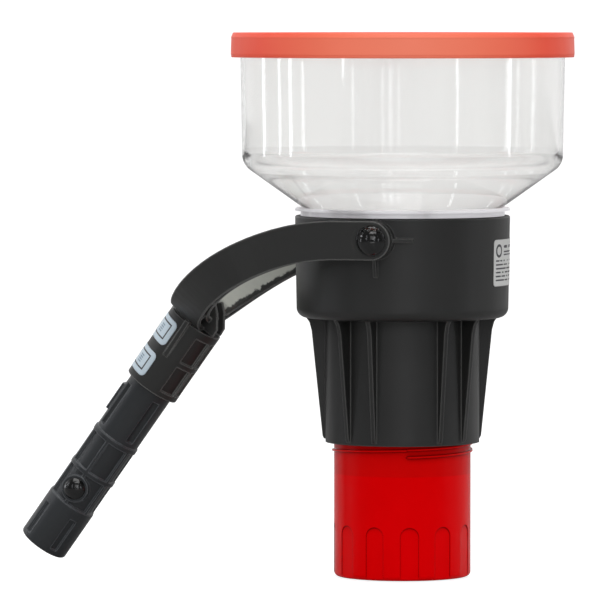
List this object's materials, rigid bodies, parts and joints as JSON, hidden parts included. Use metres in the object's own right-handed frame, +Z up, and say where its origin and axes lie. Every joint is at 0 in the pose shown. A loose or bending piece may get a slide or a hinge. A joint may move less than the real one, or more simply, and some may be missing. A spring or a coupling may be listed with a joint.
{
  "type": "smoke detector test dispenser",
  "caption": "Wide clear cup with a soft rim over a black finned housing for an aerosol can, screw-on base cup and a swinging yoke with a pole plug.",
  "frame": {"origin": "centre of the base cup's flat underside", "axes": "+Z up the main axis to the mouth of the cup; yoke pivot along Y; handle towards -X; drum label faces +X"},
  "size_m": [0.3104, 0.1872, 0.2965],
  "materials": {
    "black_housing": "fine matte moulded black",
    "black_yoke": "matte moulded black",
    "blue_black_plug": "satin blue-black plastic",
    "gloss_black": "gloss black dome",
    "coral_rubber": "soft satin coral",
    "clear_cup": "clear polycarbonate",
    "frosted_collar": "translucent natural plastic",
    "red_plastic": "glossy red",
    "seal_rubber": "matte",
    "pad_foam": "closed-cell foam",
    "spring_steel": "drawn wire",
    "zinc_steel": "zinc plated",
    "can_aluminium": "satin drawn",
    "valve_tinplate": "lacquered",
    "white_plastic": "natural white",
    "bush_plastic": "tan bearing plastic",
    "white_label": "printed film, blank",
    "blue_label": "pale blue film"
  },
  "bodies": {
    "housing": {"housing": "black_housing", "can_guide": "black_yoke", "guide_screws": "zinc_steel", "base_seal": "seal_rubber", "body_label": "white_label", "pivot_pin_near": "gloss_black", "pivot_pin_far": "gloss_black", "pivot_washers": "zinc_steel", "return_spring": "spring_steel"},
    "cup": {"rim_seal": "coral_rubber", "clear_cup": "clear_cup", "cup_collar": "frosted_collar", "spray_head": "red_plastic"},
    "can": {"can_body": "can_aluminium", "can_valve_cup": "valve_tinplate"},
    "stem": {"can_valve_stem": "white_plastic"},
    "base": {"base_cup": "red_plastic", "base_pad": "pad_foam"},
    "yoke": {"yoke": "black_yoke", "pivot_bush_near": "bush_plastic", "pivot_bush_far": "bush_plastic", "pole_adaptor": "blue_black_plug", "adaptor_screws": "zinc_steel", "socket_label_upper": "blue_label", "socket_label_lower": "blue_label", "button_spring": "spring_steel"},
    "button": {"snap_button": "gloss_black"}
  },
  "joints": [
    {"name": "yoke_swing", "type": "hinge", "parent": "housing", "child": "yoke", "pos_m": [0, 0, 0.1853], "axis": [0, 1, 0], "range_deg": [-35, 20]},
    {"name": "cup_press", "type": "slide", "parent": "housing", "child": "cup", "axis": [0, 0, -1], "range_m": [0, 0.0025], "stiffness_N_per_m": 600, "springref_m": -0.002, "deforming": ["return_spring"]},
    {"name": "can_travel", "type": "slide", "parent": "housing", "child": "can", "axis": [0, 0, -1], "range_m": [0, 0.00799]},
    {"name": "stem_press", "type": "slide", "parent": "can", "child": "stem", "axis": [0, 0, -1], "range_m": [0, 0.0025]},
    {"name": "base_turn", "type": "hinge", "parent": "can", "child": "base", "pos_m": [0, 0, 0], "axis": [0, 0, -1], "range_deg": [0, 360]},
    {"name": "button_press", "type": "slide", "parent": "yoke", "child": "button", "axis": [0, 1, 0], "range_m": [0, 0.0042], "stiffness_N_per_m": 300, "springref_m": -0.002, "deforming": ["button_spring"]}
  ],
  "couplings": [
    {"joint": "stem_press", "follows": "cup_press", "ratio": 1},
    {"joint": "base_turn", "follows": "can_travel", "rad_per_m": 785.4}
  ]
}
